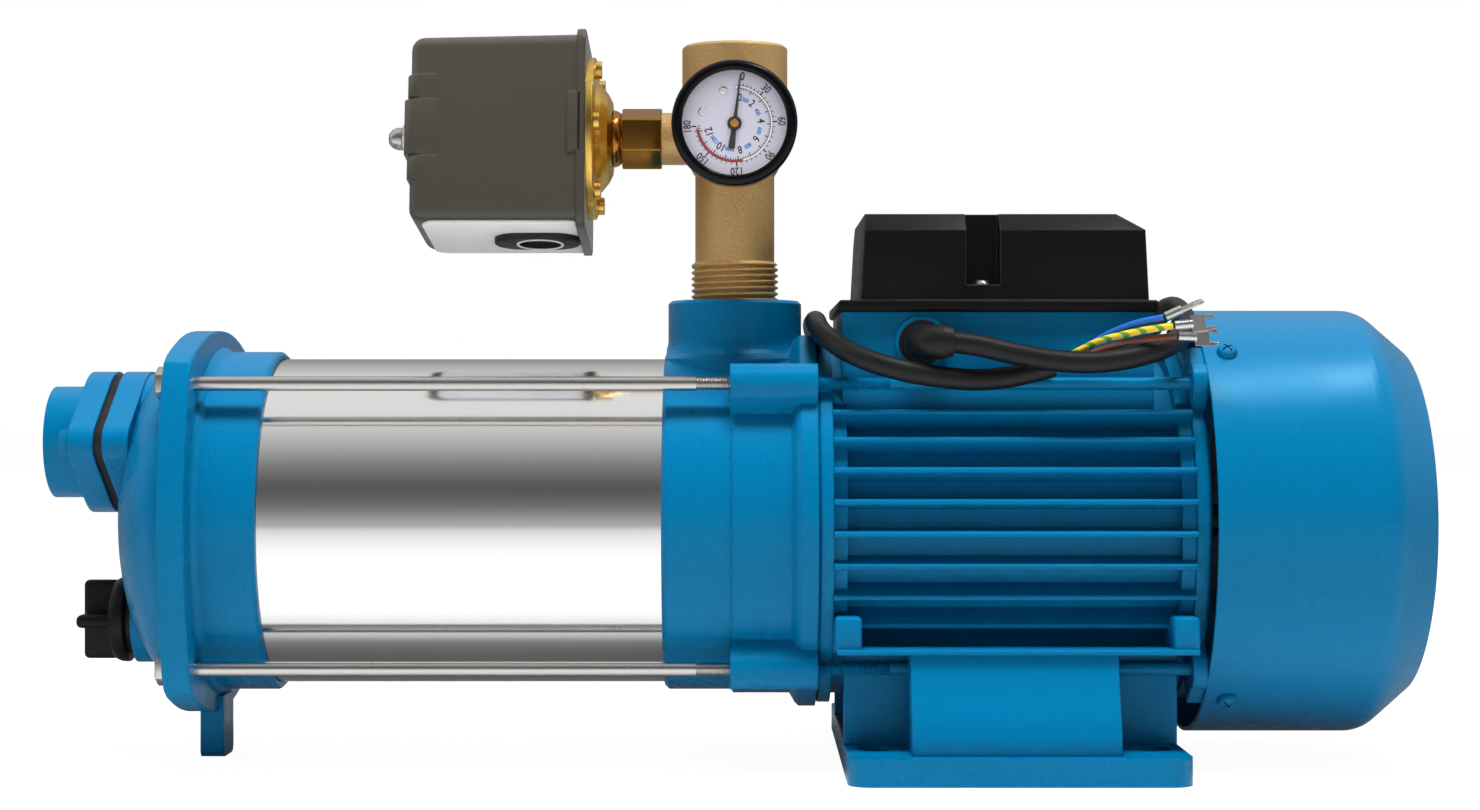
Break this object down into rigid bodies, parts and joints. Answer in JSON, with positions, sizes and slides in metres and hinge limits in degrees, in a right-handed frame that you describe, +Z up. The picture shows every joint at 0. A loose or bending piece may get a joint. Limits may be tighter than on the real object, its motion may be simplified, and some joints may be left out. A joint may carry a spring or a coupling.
{
  "type": "multistage garden pump",
  "caption": "Horizontal multistage electric garden pump with a finned motor on a flat foot, a steel barrel, a flanged inlet, and a brass outlet tee with pressure switch and gauge.",
  "frame": {"origin": "centre of the foot's four-hole pattern, on the foot's underside", "axes": "+X along the shaft from the inlet to the fan, -Y toward the gauge's face, +Z up"},
  "size_m": [0.5135, 0.1774, 0.276],
  "materials": {
    "blue_paint": "satin",
    "polished_stainless": "polished",
    "stainless": "satin",
    "zinc_steel": "satin",
    "black_rubber": "matte",
    "black_plastic": "matte",
    "green_yellow_wire": "satin",
    "brown_wire": "satin",
    "blue_wire": "satin",
    "brass": "satin",
    "yellow_zinc": "satin",
    "taupe_cover": "satin",
    "clear_glass": "polished",
    "dial_white": "matte",
    "ceramic": "satin",
    "carbon": "satin",
    "core_steel": "satin",
    "pale_plastic": "satin"
  },
  "bodies": {
    "pump": {"suction_casing": "blue_paint", "inlet_flange": "blue_paint", "inlet_bolts": "blue_paint", "valve_gasket": "black_rubber", "barrel": "polished_stainless", "barrel_seals": "black_rubber", "tie_rods": "zinc_steel", "diffuser_1": "stainless", "diffuser_2": "stainless", "diffuser_3": "stainless", "diffuser_4": "stainless", "diffuser_5": "stainless", "outlet_casing": "blue_paint", "seal_seat": "ceramic", "front_shield": "blue_paint", "motor_frame": "blue_paint", "foot": "blue_paint", "stator": "core_steel", "bearing_outers": "zinc_steel", "through_bolts": "blue_paint", "rear_shield": "blue_paint", "fan_cover": "blue_paint", "cover_screws": "zinc_steel", "terminal_lid": "black_plastic", "lid_screws": "zinc_steel", "capacitor": "pale_plastic", "cable_gland": "black_rubber", "power_cord": "black_rubber", "wire_earth": "green_yellow_wire", "wire_live": "brown_wire", "wire_neutral": "blue_wire", "fork_terminals": "zinc_steel", "tee": "brass", "gauge_case": "brass", "gauge_bezel": "black_plastic", "gauge_lens": "clear_glass", "gauge_dial": "dial_white", "switch_union": "brass", "switch_diaphragm": "yellow_zinc", "switch_screws": "zinc_steel", "switch_base": "zinc_steel", "switch_cover": "taupe_cover", "switch_cap_nut": "zinc_steel", "switch_grommet": "black_rubber"},
    "rotor": {"impeller_1": "stainless", "impeller_2": "stainless", "impeller_3": "stainless", "impeller_4": "stainless", "impeller_5": "stainless", "impeller_nut": "stainless", "shaft_sleeves": "stainless", "seal_rotor": "carbon", "rotor_core": "core_steel", "shaft": "stainless", "bearing_inners": "zinc_steel", "fan": "black_plastic"},
    "gauge_hand": {"gauge_needle": "black_plastic"},
    "flap": {"valve_flap": "black_rubber"},
    "plug_seal": {"drain_seal": "black_rubber"},
    "plug": {"drain_plug": "black_plastic"}
  },
  "joints": [
    {"name": "shaft_spin", "type": "hinge", "parent": "pump", "child": "rotor", "pos_m": [0, 0, 0.09], "axis": [1, 0, 0], "continuous": true},
    {"name": "gauge_turn", "type": "hinge", "parent": "pump", "child": "gauge_hand", "pos_m": [-0.101, -0.054, 0.2365], "axis": [0, 1, 0], "range_deg": [0, 270], "stiffness_Nm_per_rad": 0.001},
    {"name": "flap_open", "type": "hinge", "parent": "pump", "child": "flap", "pos_m": [-0.33585, 0, 0.1387], "axis": [0, -1, 0], "range_deg": [0, 45]},
    {"name": "plug_lift", "type": "slide", "parent": "pump", "child": "plug_seal", "axis": [-1, 0, 0], "range_m": [0, 0.00726]},
    {"name": "plug_turn", "type": "hinge", "parent": "plug_seal", "child": "plug", "pos_m": [-0.333, 0, 0.052], "axis": [-1, 0, 0], "range_deg": [0, 1440]}
  ],
  "couplings": [
    {"joint": "plug_turn", "follows": "plug_lift", "rad_per_m": 3463.7}
  ]
}
